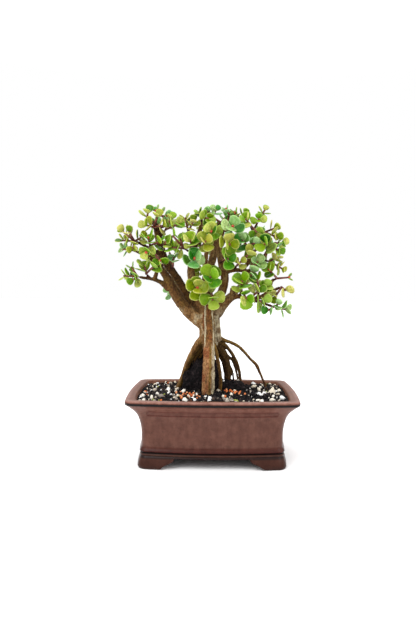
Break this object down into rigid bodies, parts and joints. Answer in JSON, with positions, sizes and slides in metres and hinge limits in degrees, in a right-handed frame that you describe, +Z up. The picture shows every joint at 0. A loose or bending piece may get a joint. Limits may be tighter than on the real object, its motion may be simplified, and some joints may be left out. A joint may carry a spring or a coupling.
{
  "type": "potted dwarf jade bonsai",
  "caption": "Dwarf jade bonsai with exposed stilt roots and small fleshy leaves, growing in soil in a glazed rectangular pot on corner feet.",
  "frame": {"origin": "on the ground under the middle of the plant's box; the middle of the pot is 9.9 mm to +X and 1.4 mm to -Y of it", "axes": "+Z up along the trunk, -Y the viewing side of the pot, +X along the pot's long side to the viewer's right"},
  "size_m": [0.2321, 0.1618, 0.3253],
  "materials": {
    "pot_glaze": "mottled red-brown glaze, half glossy",
    "screen_plastic": "moulded mesh",
    "bark": "tan-brown bark, ridged and ringed with leaf scars",
    "potting_mix": "black crumbly mix with white and orange grains",
    "leaf_green": "smooth, waxy, half glossy",
    "leaf_pale_green": "smooth, waxy, half glossy",
    "leaf_blue_green": "smooth, waxy, half glossy",
    "leaf_yellow_green": "smooth, waxy, half glossy"
  },
  "bodies": {
    "root": {"pot": "pot_glaze", "pot_foot_front_left": "pot_glaze", "pot_foot_front_right": "pot_glaze", "pot_foot_back_left": "pot_glaze", "pot_foot_back_right": "pot_glaze", "drain_screen_left": "screen_plastic", "drain_screen_right": "screen_plastic", "tree": "bark", "soil": "potting_mix", "spray_left_low": "leaf_green", "spray_left_low_inner": "leaf_pale_green", "spray_left_tip": "leaf_yellow_green", "spray_left_inner": "leaf_green", "spray_top_left_outer": "leaf_pale_green", "spray_top_left_inner": "leaf_blue_green", "spray_top_left_front": "leaf_yellow_green", "spray_left_high_right": "leaf_green", "spray_left_curved": "leaf_pale_green", "spray_centre_left_outer": "leaf_yellow_green", "spray_centre_left_low": "leaf_green", "spray_centre_pale": "leaf_pale_green", "spray_centre_round": "leaf_blue_green", "spray_centre_top_pale": "leaf_green", "spray_top_centre_left": "leaf_pale_green", "spray_top_centre": "leaf_blue_green", "spray_front_low_left": "leaf_yellow_green", "spray_front_centre": "leaf_green", "spray_front_low_right": "leaf_pale_green", "spray_front_pale": "leaf_blue_green", "spray_front_olive": "leaf_yellow_green", "spray_centre_right_round": "leaf_green", "spray_top_right_fork": "leaf_pale_green", "spray_right_gap": "leaf_yellow_green", "spray_right_big": "leaf_green", "spray_right_low_front": "leaf_pale_green", "spray_right_low_tip": "leaf_blue_green", "spray_right_stub": "leaf_yellow_green", "spray_right_middle_tip": "leaf_green", "spray_right_inner": "leaf_pale_green", "spray_right_bluish": "leaf_blue_green", "spray_right_far": "leaf_yellow_green", "spray_right_round": "leaf_green", "spray_right_edge": "leaf_pale_green", "spray_right_figure": "leaf_blue_green", "spray_top_right": "leaf_yellow_green", "spray_top_right_peak": "leaf_green", "spray_top_right_inner": "leaf_pale_green", "spray_back_left_low": "leaf_blue_green", "spray_back_left_middle": "leaf_yellow_green", "spray_back_left_tip": "leaf_green", "spray_back_left_side": "leaf_pale_green", "spray_back_left_top": "leaf_blue_green", "spray_back_low": "leaf_yellow_green", "spray_back_middle": "leaf_green", "spray_back_tip": "leaf_pale_green", "spray_back_top": "leaf_blue_green", "spray_back_right_low": "leaf_yellow_green", "spray_back_right_middle": "leaf_green", "spray_back_right_tip": "leaf_pale_green", "spray_back_right_side": "leaf_blue_green"}
  },
  "joints": []
}
